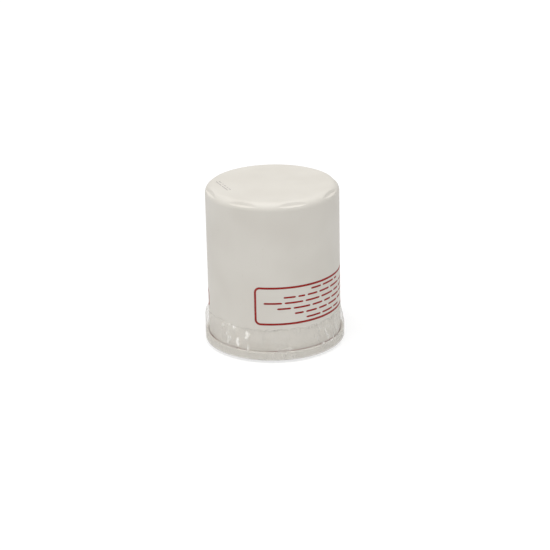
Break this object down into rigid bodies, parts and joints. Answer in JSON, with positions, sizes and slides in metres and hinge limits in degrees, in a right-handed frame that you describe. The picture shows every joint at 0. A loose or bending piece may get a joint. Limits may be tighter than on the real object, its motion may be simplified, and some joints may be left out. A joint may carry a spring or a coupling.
{
  "type": "spin-on oil filter",
  "caption": "Round enamelled spin-on oil filter with wrench flats, threaded centre hub, sealing gasket, pleated element and clear shrink film at the open end.",
  "frame": {"origin": "centre of the gasket's sealing face, which is the face the filter stands on", "axes": "+Z along the thread axis, from the gasket face to the closed end; -Y is the side with the outlined printed panel"},
  "size_m": [0.0696, 0.0696, 0.081],
  "materials": {
    "canister_enamel": "smooth off-white baked enamel, semi-gloss",
    "printed_ink": "thin dark red printed ink",
    "zinc_sheet": "zinc-plated sheet steel",
    "plate_steel": "oiled pressed steel plate",
    "spring_steel": "drawn spring wire",
    "gasket_rubber": "black nitrile rubber",
    "valve_rubber": "red-brown silicone rubber",
    "filter_paper": "resin-treated filter paper",
    "compound": "cured grey plastisol",
    "clear_film": "clear shrink film, glossy"
  },
  "bodies": {
    "root": {"canister": "canister_enamel", "seaming_lid": "zinc_sheet", "seam_compound": "compound", "sealing_gasket": "gasket_rubber", "tapping_plate": "plate_steel", "lower_end_cap": "zinc_sheet", "lower_adhesive": "compound", "pleated_media": "filter_paper", "media_seam_clip": "zinc_sheet", "centre_tube": "zinc_sheet", "upper_adhesive": "compound", "upper_end_cap": "zinc_sheet", "relief_spring": "spring_steel", "relief_cage": "zinc_sheet", "element_spring": "spring_steel", "shrink_film": "clear_film"},
    "relief_valve": {"relief_plunger": "plate_steel", "relief_seal": "gasket_rubber"},
    "drain_valve_lip": {"anti_drain_valve": "valve_rubber"}
  },
  "joints": [
    {"name": "relief_valve_lift", "type": "slide", "parent": "root", "child": "relief_valve", "axis": [0, 0, -1], "range_m": [0, 0.0035], "stiffness_N_per_m": 800, "springref_m": -0.0098, "deforming": ["relief_spring"]},
    {"name": "drain_valve_lift", "type": "slide", "parent": "root", "child": "drain_valve_lip", "axis": [0, 0, 1], "range_m": [0, 0.002], "stiffness_N_per_m": 300, "springref_m": -0.002, "deforming": ["anti_drain_valve"]}
  ]
}
